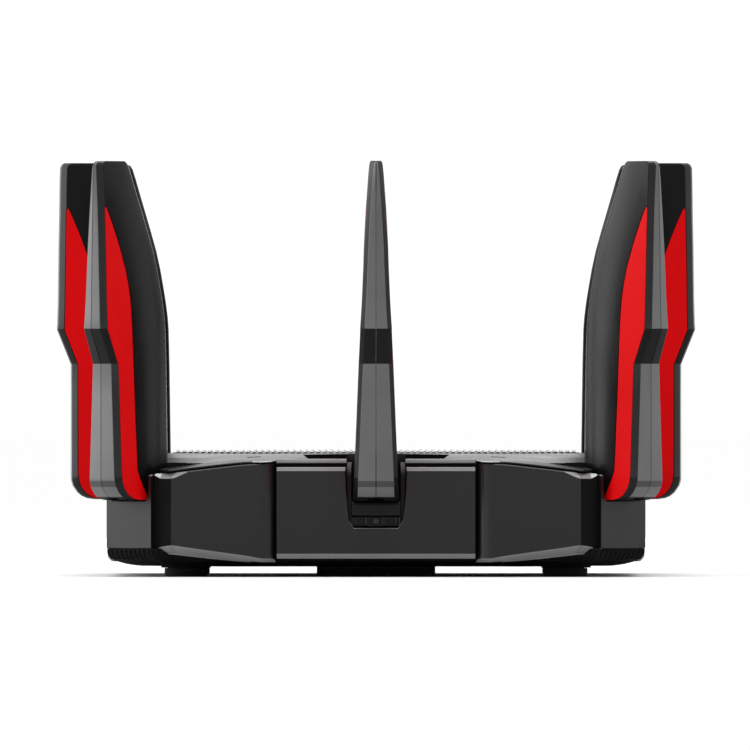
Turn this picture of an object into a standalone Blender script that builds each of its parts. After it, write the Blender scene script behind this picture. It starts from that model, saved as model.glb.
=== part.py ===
"""Eight-antenna wireless router: a square body with eight fold-out fin antennas.

Units are millimetres in the constants and metres in the scene (MM converts).
The origin is at the bottom centre of the body, +Z is up, and the front is -Y.
"""

import math

import bmesh
import bpy
from mathutils import Matrix, Vector

MM = 0.001

# Body
BODY_HALF = 120.0
BODY_CHOP = 19.8
LOWER_HALF = 113.8
LOWER_CHOP = 21.0
LOWER_WALL = 2.2
CAVITY_HALF = 116.8
CAVITY_CHOP = 18.1
WALL_TOP = 1.8
FOOT_HEIGHT = 4.2
FOOT_PLACE = 84.0
FOOT_RADIUS = 9.5
GRILLE_RADIUS = 91.0
GRILLE_TOP = 56.1
CLEAR = 0.35

# Turned outlines of the body, as (radius, height) from the centre out
TOP_LINE = ((0.0, 54.3), (94.0, 54.3), (130.0, 49.9), (150.0, 45.4), (175.0, 39.0))
BOTTOM_LINE = ((0.0, 7.6), (130.0, 7.6), (150.0, 13.2), (175.0, 18.0))
DISH_LINE = ((0.0, 4.2), (65.0, 4.2), (96.0, 4.9), (113.0, 5.8), (130.0, 7.6), (150.0, 11.0), (175.0, 13.2))
DISH_TOP = 13.5

# Side panels
PANEL_HALF = 43.8
REAR_PANEL_HALF = 91.4
PANEL_LOW = 8.0
PANEL_HIGH = 48.5
REAR_PANEL_HIGH = 43.4
PANEL_FACE = 117.3
PANEL_BACK = 114.6

# Antenna, as distances from the body's centre axis for one at the middle of a side
CORNER_OFFSET = 35.5
PIVOT_REACH = 126.0
PIVOT_HEIGHT = 43.8
FIN_CORNER = 10.0
FIN_BOTTOM = PIVOT_HEIGHT - FIN_CORNER
FIN_SEAM = 0.16
RIDGE_RISE = 0.6
BEVEL_REACH = 2.75
BEVEL_SIDE = 2.1
FIN_FOOT_HALF = 10.2
FIN_INNER = 99.9
EDGE_SHARE = 0.45
EDGE_CURVE = 3.5
TRIM_DROP = 0.15
TRIM_THICK = 0.8
TRIM_RECESS = 1.35

# (height, outer edge, inner edge, half thickness) of the fin above its rounded foot
FIN_STATIONS = (
    (94.0, 136.0, FIN_INNER, 7.75),
    (109.5, 142.2, FIN_INNER, 7.1),
    (122.0, 141.8, 100.4, 6.4),
    (144.7, 141.5, 105.5, 5.45),
    (162.5, 141.1, 112.5, 4.5),
    (175.9, 140.9, 117.6, 3.5),
    (181.6, 140.7, 119.8, 3.0),
    (183.5, 138.9, 121.8, 2.6),
)
# (height, inner border, outer border) of the red trim
TRIM_STATIONS = (
    (34.9, 116.3, 118.2),
    (37.1, 117.5, 126.0),
    (39.1, 118.6, 130.7),
    (43.8, 121.2, 132.6),
    (47.0, 122.9, 132.6),
    (93.2, 122.9, 132.7),
    (108.6, 123.0, 138.5),
    (122.0, 123.1, 138.2),
    (145.0, 130.2, 137.9),
    (163.0, 136.9, 137.7),
)

# Antenna mount
NOTCH_BACK = 94.6
SIDE_NOTCH_LOW = 22.0
CORNER_NOTCH_LOW = 33.2
MOUNT_HALF = 10.5
MOUNT_BACK = 94.9
MOUNT_PLATE = 97.2
MOUNT_FACE = 117.0
MOUNT_LOW = 26.8
MOUNT_HIGH = 33.2
ARM_HALF = 2.9
ARM_RADIUS = 3.4
PIN_RADIUS = 1.6
PIN_HALF = 5.6

# Board and connectors, along the rear panel
BOARD_LOW = 14.2
BOARD_HIGH = 15.8
BOARD_SIDE = 94.0
BOARD_REAR = 112.0
PORT_LOW = BOARD_HIGH + CLEAR
PORT_FACE = 117.6
PORT_BACK = 96.0
JACK_COUNT = 5
JACK_PITCH = 13.9
JACK_WIDE = 11.9
JACK_LOW = 18.3
JACK_HIGH = 26.3
JACK_DEEP = 16.0
ETHERNET_CENTRE = 48.3
ETHERNET_HIGH = 29.55
USB_CENTRE = -26.0
USB_HALF = 7.2
USB_HIGH = 31.75
USB_MOUTH_HALF = 6.1
USB_MOUTHS = ((17.9, 22.9), (25.1, 30.1))
USB_DEEP = 14.0
DC_CENTRE = -46.0
DC_HALF = 5.0
DC_HIGH = 27.4
DC_HEIGHT = 21.8
DC_BORE = 3.5
DC_DEEP = 11.0
POWER_CENTRE = -62.0
POWER_RADIUS = 4.2
RESET_CENTRE = -78.0
RESET_RADIUS = 1.3
PRESS_HEIGHT = 22.0
PRESS_BACK = 107.0
POWER_TIP = 118.9
RESET_TIP = 116.9
JACK_BODY = 15.0
PRESS_CLEAR = 0.4

# Side buttons on the right panel
KEY_PLACES = {"wps_button": -28.0, "wifi_button": 28.0}
KEY_HEIGHT = 30.0
KEY_HALF = (4.6, 2.4)
KEY_FACE = 118.3
KEY_BACK = 108.0

# Depths that a cut through a panel runs between
CUT_FROM = 110.0
CUT_TO = 122.0

# Heatsink
SINK_HALF = 55.0
SINK_DEPTH = 50.0
SINK_BASE = 3.0
SINK_HIGH = 41.0
SINK_FINS = 11
SINK_FIN = 1.6

ANTENNAS = {
    "front": -90,
    "front_right": -45,
    "right": 0,
    "rear_right": 45,
    "rear": 90,
    "rear_left": 135,
    "left": 180,
    "front_left": -135,
}


# ---------------------------------------------------------------- scene

def clear_scene():
    for item in list(bpy.data.objects):
        bpy.data.objects.remove(item, do_unlink=True)


def new_collection(name):
    made = bpy.data.collections.new(name)
    bpy.context.scene.collection.children.link(made)
    return made


def finish(name, color, roughness, metallic=0.0):
    made = bpy.data.materials.new(name)
    made.use_nodes = True
    surface = made.node_tree.nodes["Principled BSDF"]
    surface.inputs["Base Color"].default_value = (*color, 1.0)
    surface.inputs["Roughness"].default_value = roughness
    surface.inputs["Metallic"].default_value = metallic
    return made


clear_scene()
ROUTER = new_collection("wireless_router")
CUTTERS = new_collection("cutters")
CUTTERS.hide_render = True

BLACK = finish("black_plastic", (0.020, 0.020, 0.022), 0.42)
SATIN = finish("satin_black_plastic", (0.035, 0.035, 0.037), 0.33)
GUNMETAL = finish("gunmetal_plastic", (0.10, 0.10, 0.105), 0.38)
RED = finish("red_plastic", (0.62, 0.010, 0.012), 0.30)
RUBBER = finish("rubber", (0.015, 0.015, 0.015), 0.85)
METAL = finish("tin_plate", (0.55, 0.55, 0.56), 0.35, 1.0)
ALUMINIUM = finish("aluminium", (0.70, 0.71, 0.72), 0.40, 1.0)
BOARD = finish("circuit_board", (0.01, 0.05, 0.03), 0.50)


# ---------------------------------------------------------------- shapes

def object_of(shape, name, material=None):
    """Scales a millimetre bmesh to metres and puts it in its collection: a cutter has no material."""
    bmesh.ops.scale(shape, vec=(MM, MM, MM), verts=shape.verts)
    bmesh.ops.recalc_face_normals(shape, faces=shape.faces)
    mesh = bpy.data.meshes.new(name)
    shape.to_mesh(mesh)
    shape.free()
    return object_with(mesh, name, material)


def object_with(mesh, name, material=None):
    made = bpy.data.objects.new(name, mesh)
    if material is None:
        made.hide_render = True
        made.display_type = "WIRE"
        CUTTERS.objects.link(made)
        return made
    if not mesh.materials:
        mesh.materials.append(material)
    ROUTER.objects.link(made)
    return made


def add_box(shape, low, high):
    centre = (Vector(low) + Vector(high)) / 2
    size = Vector(high) - Vector(low)
    place = Matrix.Translation(centre) @ Matrix.Diagonal((*size, 1.0))
    bmesh.ops.create_cube(shape, size=1.0, matrix=place)


def box_shape(low, high):
    shape = bmesh.new()
    add_box(shape, low, high)
    return shape


def add_rod(shape, start, end, radius, sides=12):
    """A cylinder between two points."""
    line = Vector(end) - Vector(start)
    turn = line.to_track_quat("Z", "Y").to_matrix().to_4x4()
    place = Matrix.Translation((Vector(start) + Vector(end)) / 2) @ turn
    bmesh.ops.create_cone(shape, cap_ends=True, segments=sides, radius1=radius, radius2=radius,
                          depth=line.length, matrix=place)


def add_prism(shape, outline, offset):
    """Extrudes a flat outline of 3-D points by an offset vector."""
    face = shape.faces.new([shape.verts.new(point) for point in outline])
    made = bmesh.ops.extrude_face_region(shape, geom=[face])["geom"]
    moved = [item for item in made if isinstance(item, bmesh.types.BMVert)]
    bmesh.ops.translate(shape, verts=moved, vec=offset)


def add_loft(shape, sections):
    """Joins rings of equal length and closes the two ends."""
    rings = [[shape.verts.new(point) for point in section] for section in sections]
    for low, high in zip(rings, rings[1:]):
        count = len(low)
        for i in range(count):
            j = (i + 1) % count
            shape.faces.new((low[i], low[j], high[j], high[i]))
    shape.faces.new(rings[0])
    shape.faces.new(rings[-1])


def turned(name, profile, material=None, steps=48, ring=False):
    """Turns a profile of (radius, height) about +Z: it runs from the top down its outer side.

    The profile of a ring joins its last point to its first; any other begins and ends on the axis.
    """
    shape = bmesh.new()
    verts = [shape.verts.new((radius * MM, 0.0, height * MM)) for radius, height in profile]
    for pair in zip(verts, verts[1:]):
        shape.edges.new(pair)
    if ring:
        shape.edges.new((verts[-1], verts[0]))
    mesh = bpy.data.meshes.new(name)
    shape.to_mesh(mesh)
    shape.free()
    made = object_with(mesh, name, material)
    screw = made.modifiers.new("turn", "SCREW")
    screw.steps = steps
    screw.render_steps = steps
    screw.use_merge_vertices = True
    screw.merge_threshold = 0.00001
    return made


def chopped_square(half, chop, height):
    """A square outline with its corners cut off at 45 degrees, at one height."""
    near = half - chop
    points = ((half, -near), (half, near), (near, half), (-near, half),
              (-half, near), (-half, -near), (-near, -half), (near, -half))
    return [(x, y, height) for x, y in points]


def arc(centre, radius, start, end, steps):
    """Points of an arc in the plane of two coordinates, angles in degrees."""
    angles = [math.radians(start + (end - start) * i / steps) for i in range(steps + 1)]
    return [(centre[0] + radius * math.cos(a), centre[1] + radius * math.sin(a)) for a in angles]


def boolean(target, other, operation="DIFFERENCE"):
    made = target.modifiers.new(operation.lower(), "BOOLEAN")
    made.operation = operation
    made.object = other


def bevel(target, width, segments=1, angle=40):
    made = target.modifiers.new("bevel", "BEVEL")
    made.width = width * MM
    made.segments = segments
    made.limit_method = "ANGLE"
    made.angle_limit = math.radians(angle)


def baked(source):
    """The mesh of an object with its modifiers applied."""
    graph = bpy.context.evaluated_depsgraph_get()
    return bpy.data.meshes.new_from_object(source.evaluated_get(graph))


def spun(angle):
    return Matrix.Rotation(math.radians(angle), 4, "Z")


def shade(mesh):
    mesh.shade_smooth()
    mesh.set_sharp_from_angle(angle=math.radians(35))


# ---------------------------------------------------------------- body

def raised(line, rise):
    return [(radius, height + rise) for radius, height in line]


def prism_between(outline, low, high):
    shape = bmesh.new()
    base = [(x, y, low) for x, y, _ in outline]
    add_prism(shape, base, (0.0, 0.0, high - low))
    return shape


def notch_outline(low):
    """The antenna notch seen along its radius, as (across, height): wider than the fin at every height."""
    if low > SIDE_NOTCH_LOW:
        right = ((12.4, low), (12.8, 47.0), (12.8, 70.0))
    else:
        right = ((8.0, low), (10.6, low + 1.6), (11.8, low + 4.6), (13.4, 46.5), (12.8, 52.0), (12.8, 70.0))
    return list(right) + [(-across, height) for across, height in reversed(right)]


def add_notches(shape):
    for angle in ANTENNAS.values():
        corner = angle % 90 != 0
        low = CORNER_NOTCH_LOW if corner else SIDE_NOTCH_LOW
        reach = NOTCH_BACK + (CORNER_OFFSET if corner else 0.0)
        turn = spun(angle)
        outline = [turn @ Vector((reach, across, height)) for across, height in notch_outline(low)]
        add_prism(shape, outline, turn @ Vector((40.0, 0.0, 0.0)))


def make_upper_housing():
    """A hollow cover with sloping top and underside, open below, with panel windows and antenna notches."""
    hole = GRILLE_RADIUS + CLEAR
    ring = ((hole, TOP_LINE[0][1]), *TOP_LINE[1:], *reversed(BOTTOM_LINE[1:]), (hole, BOTTOM_LINE[0][1]))
    outer = turned("body_lens", ring, steps=64, ring=True)
    room_top = raised(TOP_LINE, -WALL_TOP)
    room = turned("room_lens", (*room_top, (175.0, 0.0), (0.0, 0.0)), steps=64)
    hollow = object_of(prism_between(chopped_square(CAVITY_HALF, CAVITY_CHOP, 0.0), 1.0, 70.0), "room")
    boolean(hollow, room, "INTERSECT")
    notches = bmesh.new()
    add_notches(notches)
    windows = bmesh.new()
    add_windows(windows)
    plan = chopped_square(BODY_HALF, BODY_CHOP, 0.0)
    cover = object_of(prism_between(plan, 2.0, 60.0), "upper_housing", BLACK)
    boolean(cover, outer, "INTERSECT")
    boolean(cover, hollow)
    boolean(cover, object_of(notches, "notches"))
    boolean(cover, object_of(windows, "windows"))


def add_windows(shape):
    """The openings for the four side panels, and the grooves at the wings' outer ends."""
    for angle in (-90, 0, 90, 180):
        turn = spun(angle)
        rear = angle == 90
        half = (REAR_PANEL_HALF if rear else PANEL_HALF) + CLEAR
        top = (REAR_PANEL_HIGH if rear else PANEL_HIGH) + CLEAR
        cuts = [((112.0, -half, 5.0), (122.0, half, top))]
        if not rear:
            cuts += [((118.2, side * 97.2 - 5.7, 5.0), (122.0, side * 97.2 + 5.7, 60.0)) for side in (-1, 1)]
        for low, high in cuts:
            made = len(shape.verts)
            add_box(shape, low, high)
            shape.verts.ensure_lookup_table()
            bmesh.ops.transform(shape, matrix=turn, verts=shape.verts[made:])


def make_lower_housing():
    """A shallow dish with a sloping underside, board posts, foot bosses, two moulded pads and floor slots."""
    dish = turned("dish", ((0.0, DISH_TOP), (175.0, DISH_TOP), *reversed(DISH_LINE)), steps=32)
    floor = turned("floor", ((0.0, 30.0), (175.0, 30.0), *reversed(raised(DISH_LINE, LOWER_WALL))), steps=32)
    inside = chopped_square(LOWER_HALF - LOWER_WALL, LOWER_CHOP - 1.3, 0.0)
    room = object_of(prism_between(inside, 1.0, 29.0), "lower_room")
    boolean(room, floor, "INTERSECT")
    posts = bmesh.new()
    for x in (-FOOT_PLACE, FOOT_PLACE):
        for y in (-FOOT_PLACE, FOOT_PLACE):
            add_rod(posts, (x, y, FOOT_HEIGHT), (x, y, 9.2), FOOT_RADIUS + 1.5, sides=20)
    for y in (-FOOT_PLACE, FOOT_PLACE):
        add_box(posts, (-26.2, y - 6.0, 0.6), (26.2, y + 6.0, 6.5))
    studs = bmesh.new()
    for x in (-FOOT_PLACE, FOOT_PLACE):
        for y in (-FOOT_PLACE, FOOT_PLACE):
            add_rod(studs, (x, y, 7.6), (x, y, BOARD_LOW - CLEAR), 3.5, sides=10)
    slots = bmesh.new()
    for i in range(9):
        for side in (-1, 1):
            x = (i - 4) * 14.0
            add_box(slots, (x - 2.0, side * 36.0 - 24.0, 0.0), (x + 2.0, side * 36.0 + 24.0, 12.0))
    plan = chopped_square(LOWER_HALF, LOWER_CHOP, 0.0)
    tray = object_of(prism_between(plan, 2.0, 20.0), "lower_housing", BLACK)
    boolean(tray, dish, "INTERSECT")
    boolean(tray, room)
    boolean(tray, object_of(posts, "posts"), "UNION")
    boolean(tray, object_of(studs, "studs"), "UNION")
    boolean(tray, object_of(slots, "slots"))


def make_feet():
    for row, y in (("front", -FOOT_PLACE), ("rear", FOOT_PLACE)):
        for side, x in (("left", -FOOT_PLACE), ("right", FOOT_PLACE)):
            shape = bmesh.new()
            add_rod(shape, (x, y, 0.0), (x, y, FOOT_HEIGHT - CLEAR), FOOT_RADIUS, sides=20)
            foot = object_of(shape, f"foot_{row}_{side}", RUBBER)
            bevel(foot, 0.8)


def make_grille():
    """A flat round cover with radial slots, held by a flange under the housing's top."""
    profile = ((0.0, GRILLE_TOP), (82.0, GRILLE_TOP), (88.5, 55.5), (GRILLE_RADIUS, 54.6),
               (GRILLE_RADIUS, 52.1), (94.0, 52.1), (94.0, 50.3), (87.5, 50.3), (87.5, 53.2), (0.0, 53.2))
    grille = turned("top_grille", profile, SATIN, steps=40)
    slots = bmesh.new()
    for i in range(20):
        made = len(slots.verts)
        add_box(slots, (34.0, -3.0, 50.0), (80.0, 3.0, 60.0))
        slots.verts.ensure_lookup_table()
        bmesh.ops.transform(slots, matrix=spun(18 * i + 9), verts=slots.verts[made:])
    boolean(grille, object_of(slots, "grille_slots"))


def make_side_panels():
    notches = bmesh.new()
    add_notches(notches)
    notch = object_of(notches, "panel_notches")
    for name, angle in (("front_panel", -90), ("left_panel", 180), ("right_panel", 0)):
        low = (PANEL_BACK, -PANEL_HALF, PANEL_LOW)
        high = (PANEL_FACE, PANEL_HALF, PANEL_HIGH)
        panel = object_of(box_shape(low, high), name, SATIN)
        panel.data.transform(spun(angle))
        bevel(panel, 0.8)
        boolean(panel, notch)
        if name == "right_panel":
            boolean(panel, key_holes())


def key_holes():
    holes = bmesh.new()
    for place in KEY_PLACES.values():
        wide, tall = (half + PRESS_CLEAR for half in KEY_HALF)
        low = (CUT_FROM, place - wide, KEY_HEIGHT - tall)
        add_box(holes, low, (CUT_TO, place + wide, KEY_HEIGHT + tall))
    return object_of(holes, "key_holes")


def make_rear_panel():
    panel = object_of(box_shape((-REAR_PANEL_HALF, PANEL_BACK, PANEL_LOW + 1.0),
                                (REAR_PANEL_HALF, PANEL_FACE, REAR_PANEL_HIGH)), "rear_panel", SATIN)
    bevel(panel, 0.8)
    cuts = bmesh.new()
    jacks_half = JACK_COUNT * JACK_PITCH / 2
    for centre, half, top in ((ETHERNET_CENTRE, jacks_half, ETHERNET_HIGH), (USB_CENTRE, USB_HALF, USB_HIGH),
                              (DC_CENTRE, DC_HALF, DC_HIGH)):
        wide = half + CLEAR
        add_box(cuts, (centre - wide, CUT_FROM, PORT_LOW - CLEAR), (centre + wide, CUT_TO, top + CLEAR))
    for centre, radius in ((POWER_CENTRE, POWER_RADIUS), (RESET_CENTRE, RESET_RADIUS)):
        ends = [(centre, depth, PRESS_HEIGHT) for depth in (CUT_FROM, CUT_TO)]
        add_rod(cuts, *ends, radius + PRESS_CLEAR, sides=16)
    boolean(panel, bpy.data.objects["panel_notches"])
    boolean(panel, object_of(cuts, "port_windows"))


# ---------------------------------------------------------------- inside

def make_board():
    object_of(box_shape((-BOARD_SIDE, -BOARD_SIDE, BOARD_LOW), (BOARD_SIDE, BOARD_REAR, BOARD_HIGH)),
              "main_board", BOARD)


def make_heatsink():
    """A finned aluminium plate, as one comb outline drawn across the fins."""
    pitch = (2 * SINK_HALF - SINK_FIN) / (SINK_FINS - 1)
    base = PORT_LOW + SINK_BASE
    outline = [(-SINK_HALF, PORT_LOW)]
    for i in range(SINK_FINS):
        x = -SINK_HALF + i * pitch
        outline += [(x, SINK_HIGH), (x + SINK_FIN, SINK_HIGH)]
        if i < SINK_FINS - 1:
            outline += [(x + SINK_FIN, base), (x + pitch, base)]
    outline.append((SINK_HALF, PORT_LOW))
    shape = bmesh.new()
    add_prism(shape, [(x, -SINK_DEPTH - 8.0, z) for x, z in outline], (0.0, 2 * SINK_DEPTH, 0.0))
    object_of(shape, "heatsink", ALUMINIUM)


def make_ports():
    half = JACK_COUNT * JACK_PITCH / 2
    mouths = bmesh.new()
    for i in range(JACK_COUNT):
        x = ETHERNET_CENTRE + (i - (JACK_COUNT - 1) / 2) * JACK_PITCH
        low = (x - JACK_WIDE / 2, PORT_FACE - JACK_DEEP, JACK_LOW)
        add_box(mouths, low, (x + JACK_WIDE / 2, CUT_TO, JACK_HIGH))
    low = (ETHERNET_CENTRE - half, PORT_BACK, PORT_LOW)
    high = (ETHERNET_CENTRE + half, PORT_FACE, ETHERNET_HIGH)
    jacks = object_of(box_shape(low, high), "ethernet_port_block", METAL)
    boolean(jacks, object_of(mouths, "jack_mouths"))
    mouths = bmesh.new()
    for low, high in USB_MOUTHS:
        add_box(mouths, (USB_CENTRE - USB_MOUTH_HALF, PORT_FACE - USB_DEEP, low),
                (USB_CENTRE + USB_MOUTH_HALF, CUT_TO, high))
    usb = object_of(box_shape((USB_CENTRE - USB_HALF, PORT_BACK, PORT_LOW),
                              (USB_CENTRE + USB_HALF, PORT_FACE, USB_HIGH)), "usb_port_block", METAL)
    boolean(usb, object_of(mouths, "usb_mouths"))
    bore = bmesh.new()
    ends = [(DC_CENTRE, depth, DC_HEIGHT) for depth in (PORT_FACE - DC_DEEP, CUT_TO)]
    add_rod(bore, *ends, DC_BORE, sides=16)
    power = object_of(box_shape((DC_CENTRE - DC_HALF, PORT_FACE - JACK_BODY, PORT_LOW),
                                (DC_CENTRE + DC_HALF, PORT_FACE, DC_HIGH)), "power_jack", BLACK)
    boolean(power, object_of(bore, "power_bore"))


def make_buttons():
    shape = bmesh.new()
    ends = [(POWER_CENTRE, depth, PRESS_HEIGHT) for depth in (PRESS_BACK, POWER_TIP)]
    add_rod(shape, *ends, POWER_RADIUS, sides=20)
    bevel(object_of(shape, "power_button", SATIN), 0.5)
    shape = bmesh.new()
    ends = [(RESET_CENTRE, depth, PRESS_HEIGHT) for depth in (PRESS_BACK, RESET_TIP)]
    add_rod(shape, *ends, RESET_RADIUS, sides=12)
    object_of(shape, "reset_button", SATIN)
    for name, place in KEY_PLACES.items():
        wide, tall = KEY_HALF
        low = (KEY_BACK, place - wide, KEY_HEIGHT - tall)
        high = (KEY_FACE, place + wide, KEY_HEIGHT + tall)
        key = object_of(box_shape(low, high), name, SATIN)
        bevel(key, 0.5)


# ---------------------------------------------------------------- antennas

def fin_rows():
    """(height, outer edge, inner edge, half thickness) from the rounded foot of the fin to its top."""
    rows = []
    first = FIN_STATIONS[0]
    slope = (FIN_FOOT_HALF - first[3]) / (first[0] - FIN_BOTTOM)
    for reach, height in arc((PIVOT_REACH, PIVOT_HEIGHT), FIN_CORNER, -90, 0, 3):
        rows.append((height, reach, FIN_INNER, FIN_FOOT_HALF - slope * (height - FIN_BOTTOM)))
    return rows + list(FIN_STATIONS)


def fin_at(height):
    """The fin's row at any height, between its stations."""
    rows = fin_rows()
    for low, high in zip(rows, rows[1:]):
        if height <= high[0]:
            share = max(0.0, (height - low[0]) / (high[0] - low[0]))
            return [a + (b - a) * share for a, b in zip(low, high)]
    return list(rows[-1])


def broad_half(reach, row):
    """The fin's half thickness behind its bevel: full there, and thinning in a curve to the inner edge."""
    _, outer, inner, half = row
    start = outer - RIDGE_RISE - BEVEL_REACH
    share = min(1.0, max(0.0, (start - reach) / (start - inner)))
    return half * (1.0 - (1.0 - EDGE_SHARE) * share ** EDGE_CURVE)


def half_section(row):
    """(reach, across) of half the fin at a height: seam, ridge, bevel, broad face, inner edge."""
    _, outer, inner, half = row
    start = outer - RIDGE_RISE - BEVEL_REACH
    points = [(outer, FIN_SEAM), (outer - RIDGE_RISE, half - BEVEL_SIDE)]
    for share in (0.0, 0.55, 0.85, 1.0):
        reach = start + (inner - start) * share
        points.append((reach, broad_half(reach, row)))
    return points + [(inner, FIN_SEAM)]


def local(reach, across, height, side):
    """A point of the antenna about its own pivot."""
    return (reach - PIVOT_REACH, across * side, height - PIVOT_HEIGHT)


def shell_half(side):
    """One hollow half of the fin, with the trim's recess, the hinge arm's slot and a blind pin hole."""
    shape = bmesh.new()
    add_loft(shape, [[local(reach, across, row[0], side) for reach, across in half_section(row)]
                     for row in fin_rows()])
    shell = object_of(shape, "shell_form")
    recess = bmesh.new()
    add_trim(recess, side, CLEAR, -2.0, TRIM_RECESS)
    cuts = bmesh.new()
    room = [[local(reach, across, height, side) for reach, across in
             ((106.0, -1.0), (106.0, near), (131.0, far), (131.0, -1.0))]
            for height, near, far in ((56.0, 5.0, 6.6), (120.0, 2.8, 3.7))]
    add_loft(cuts, room)
    slot = [local(reach, across, height, side) for reach, across, height in
            ((FIN_INNER - 5.0, -1.0, 30.0), (PIVOT_REACH + 4.0, ARM_HALF + 0.5, PIVOT_HEIGHT + 4.0))]
    add_box(cuts, [min(pair) for pair in zip(*slot)], [max(pair) for pair in zip(*slot)])
    hole = bmesh.new()
    add_rod(hole, (0.0, 0.0, 0.0), (0.0, side * (PIN_HALF + 0.5), 0.0), PIN_RADIUS + CLEAR)
    for cutter in (recess, cuts, hole):
        boolean(shell, object_of(cutter, "shell_cutter"))
    mesh = baked(shell)
    mesh.materials.append(GUNMETAL)
    shade(mesh)
    return mesh


def add_trim(shape, side, grow, top, bottom):
    """The trim's body between two depths below the broad face, with its outline grown on every side."""
    sections = []
    rows = [list(row) for row in TRIM_STATIONS]
    rows[0][0] -= grow
    rows[-1][0] += 1.5 * grow
    for height, near, far in rows:
        fin = fin_at(height)
        edges = (near - grow, far + grow)
        high = [(reach, broad_half(reach, fin) - top) for reach in edges]
        low = [(reach, broad_half(reach, fin) - bottom) for reach in reversed(edges)]
        sections.append([local(reach, across, height, side) for reach, across in high + low])
    add_loft(shape, sections)


def trim_mesh(side):
    shape = bmesh.new()
    add_trim(shape, side, 0.0, TRIM_DROP, TRIM_DROP + TRIM_THICK)
    made = object_of(shape, "trim_form")
    mesh = baked(made)
    mesh.materials.append(RED)
    return mesh


def mount_mesh(corner):
    """The fixed mount: back plate, stepped block, two cheeks, and the hinge arm with its cross pin."""
    top = 44.5 if corner else 50.0
    face = 115.2 if corner else MOUNT_FACE
    outline = [(MOUNT_BACK, 22.6), (114.2, 22.6), (114.2, MOUNT_LOW), (face, MOUNT_LOW), (face, MOUNT_HIGH),
               (MOUNT_PLATE, MOUNT_HIGH), (MOUNT_PLATE, top), (MOUNT_BACK, top)]
    shape = bmesh.new()
    add_prism(shape, [local(reach, -MOUNT_HALF, height, 1) for reach, height in outline],
              (0.0, 2 * MOUNT_HALF, 0.0))
    mount = object_of(shape, "mount_form")
    cheeks = bmesh.new()
    for side in (-1, 1):
        ends = [local(reach, across, height, side) for reach, across, height in
                ((MOUNT_BACK + 0.1, 12.4, 22.9), (114.0, 11.0, top - 0.5))]
        add_box(cheeks, [min(pair) for pair in zip(*ends)], [max(pair) for pair in zip(*ends)])
    ribs = bmesh.new()
    add_box(ribs, local(MOUNT_BACK + 0.8, -11.8, 23.6, 1), local(112.0, 11.8, 32.0, 1))
    arm = bmesh.new()
    rim = arc((0.0, 0.0), ARM_RADIUS, -90, 90, 6)
    outline = [(x, -ARM_HALF, z) for x, z in rim]
    outline += [(MOUNT_PLATE - 1.0 - PIVOT_REACH, -ARM_HALF, z) for z in (ARM_RADIUS, -ARM_RADIUS)]
    add_prism(arm, outline, (0.0, 2 * ARM_HALF, 0.0))
    pin = bmesh.new()
    add_rod(pin, (0.0, -PIN_HALF, 0.0), (0.0, PIN_HALF, 0.0), PIN_RADIUS)
    for piece in (cheeks, ribs, arm, pin):
        boolean(mount, object_of(piece, "mount_piece"), "UNION")
    mesh = baked(mount)
    mesh.materials.append(BLACK)
    return mesh


def make_antennas():
    shells = {"left": shell_half(-1), "right": shell_half(1)}
    trims = {"left": trim_mesh(-1), "right": trim_mesh(1)}
    mounts = {corner: mount_mesh(corner) for corner in (False, True)}
    for name, angle in ANTENNAS.items():
        corner = angle % 90 != 0
        reach = (PIVOT_REACH + (CORNER_OFFSET if corner else 0.0)) * MM
        place = spun(angle) @ Matrix.Translation((reach, 0.0, PIVOT_HEIGHT * MM))
        axis = bpy.data.objects.new(f"{name}_antenna_pivot", None)
        axis.matrix_world = place
        ROUTER.objects.link(axis)
        for side, mesh in shells.items():
            object_with(mesh, f"{name}_antenna_{side}_shell", GUNMETAL).parent = axis
        for side, mesh in trims.items():
            object_with(mesh, f"{name}_antenna_{side}_trim", RED).parent = axis
        mount = object_with(mounts[corner], f"{name}_antenna_mount", BLACK)
        mount.matrix_world = place


make_upper_housing()
make_lower_housing()
make_feet()
make_grille()
make_side_panels()
make_rear_panel()
make_board()
make_heatsink()
make_ports()
make_buttons()
make_antennas()
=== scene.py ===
"""The looks of the eight-antenna router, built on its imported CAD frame.

Lengths are in millimetres in the constants and helpers, and metres in the scene (MM converts).
The origin is the body's bottom centre, +Z is up and the front is -Y. A "reach" is a distance out
from the centre axis, along a side's or an antenna's own direction, and "across" is to its left.
"""

import math

import bmesh
import bpy
from mathutils import Matrix, Vector


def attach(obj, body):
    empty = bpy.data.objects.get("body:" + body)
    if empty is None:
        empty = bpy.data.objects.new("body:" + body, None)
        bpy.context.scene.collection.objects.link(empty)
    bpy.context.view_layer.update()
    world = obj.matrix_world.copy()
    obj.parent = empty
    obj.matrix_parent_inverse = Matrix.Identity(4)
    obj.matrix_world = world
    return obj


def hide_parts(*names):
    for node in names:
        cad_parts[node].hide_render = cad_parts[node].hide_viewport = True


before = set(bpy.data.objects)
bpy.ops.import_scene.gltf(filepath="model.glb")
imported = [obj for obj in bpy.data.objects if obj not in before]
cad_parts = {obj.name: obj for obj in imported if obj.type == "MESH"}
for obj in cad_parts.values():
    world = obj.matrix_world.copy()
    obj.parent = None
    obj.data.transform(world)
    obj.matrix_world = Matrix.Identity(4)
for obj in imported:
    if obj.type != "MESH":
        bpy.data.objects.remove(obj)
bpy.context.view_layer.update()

MM = 0.001
BODY = "router_body"
ANTENNAS = {"front": -90, "front_right": -45, "right": 0, "rear_right": 45,
            "rear": 90, "rear_left": 135, "left": 180, "front_left": -135}
SIDES = {"front": -90, "right": 0, "rear": 90, "left": 180}
# How far along the right side each key is
KEY_PLACES = {"wps": -28, "wifi": 28}

# Body plan: distances out from the centre axis, and along a side from its middle
WING = 119
CHOP_NEAR = 100.2
HEADER = 114
GRILLE_HOLE = 91.5
WALL = 3.1

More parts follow.
